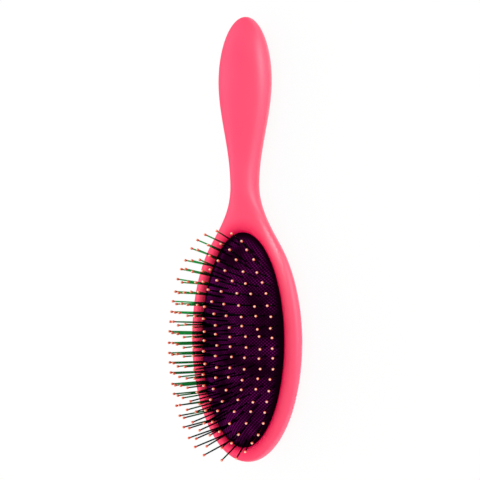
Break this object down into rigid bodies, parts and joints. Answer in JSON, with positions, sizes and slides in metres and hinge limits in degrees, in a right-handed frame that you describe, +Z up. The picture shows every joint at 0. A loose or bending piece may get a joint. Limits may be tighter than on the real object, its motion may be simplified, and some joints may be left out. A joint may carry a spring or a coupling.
{
  "type": "hair grooming brush",
  "caption": "Cushion hair brush with an oval head, a domed rubber air cushion that carries ball-tipped pins in nested rings, and a plain rounded handle.",
  "frame": {"origin": "under the middle of the brush's overall length and width, on the surface that the brush lies on with its back down", "axes": "+Z up through the pins, +Y from the head towards the handle's end, +X across the head"},
  "size_m": [0.0714, 0.2258, 0.0417],
  "materials": {
    "shell": "moulded plastic with a satin coral soft-touch coating",
    "cushion": "dark plum rubber with a fine diagonal lattice",
    "pins": "smooth black nylon",
    "tips": "dipped salmon ball coating"
  },
  "bodies": {
    "handle": {"front_shell": "shell", "back_shell": "shell", "cushion": "cushion"},
    "pins_centre": {"pin_strip_centre": "pins"},
    "pins_ring_1": {"pin_strip_1a": "pins", "pin_strip_1b": "pins", "pin_strip_1c": "pins", "pin_strip_1d": "pins", "pin_strip_1e": "pins", "pin_strip_1f": "pins"},
    "pins_ring_2": {"pin_strip_2a": "pins", "pin_strip_2b": "pins", "pin_strip_2c": "pins", "pin_strip_2d": "pins", "pin_strip_2e": "pins", "pin_strip_2f": "pins"},
    "pins_ring_3": {"pin_strip_3a": "pins", "pin_strip_3b": "pins", "pin_strip_3c": "pins", "pin_strip_3d": "pins", "pin_strip_3e": "pins", "pin_strip_3f": "pins"},
    "pins_ring_4": {"pin_strip_4a": "pins", "pin_strip_4b": "pins", "pin_strip_4c": "pins", "pin_strip_4d": "pins", "pin_strip_4e": "pins", "pin_strip_4f": "pins"},
    "pins_ring_5": {"pin_strip_5a": "pins", "pin_strip_5b": "pins", "pin_strip_5c": "pins", "pin_strip_5d": "pins", "pin_strip_5e": "pins", "pin_strip_5f": "pins"}
  },
  "joints": [
    {"name": "cushion_press", "type": "slide", "parent": "handle", "child": "pins_centre", "axis": [0, 0, -1], "range_m": [0, 0.005], "stiffness_N_per_m": 2000, "deforming": ["cushion"]},
    {"name": "ring_1_press", "type": "slide", "parent": "handle", "child": "pins_ring_1", "axis": [0, 0, -1], "range_m": [0, 0.0007]},
    {"name": "ring_2_press", "type": "slide", "parent": "handle", "child": "pins_ring_2", "axis": [0, 0, -1], "range_m": [0, 0.0022]},
    {"name": "ring_3_press", "type": "slide", "parent": "handle", "child": "pins_ring_3", "axis": [0, 0, -1], "range_m": [0, 0.0034]},
    {"name": "ring_4_press", "type": "slide", "parent": "handle", "child": "pins_ring_4", "axis": [0, 0, -1], "range_m": [0, 0.0043]},
    {"name": "ring_5_press", "type": "slide", "parent": "handle", "child": "pins_ring_5", "axis": [0, 0, -1], "range_m": [0, 0.0048]}
  ],
  "couplings": [
    {"joint": "ring_1_press", "follows": "cushion_press", "ratio": 0.14},
    {"joint": "ring_2_press", "follows": "cushion_press", "ratio": 0.44},
    {"joint": "ring_3_press", "follows": "cushion_press", "ratio": 0.68},
    {"joint": "ring_4_press", "follows": "cushion_press", "ratio": 0.86},
    {"joint": "ring_5_press", "follows": "cushion_press", "ratio": 0.96}
  ]
}
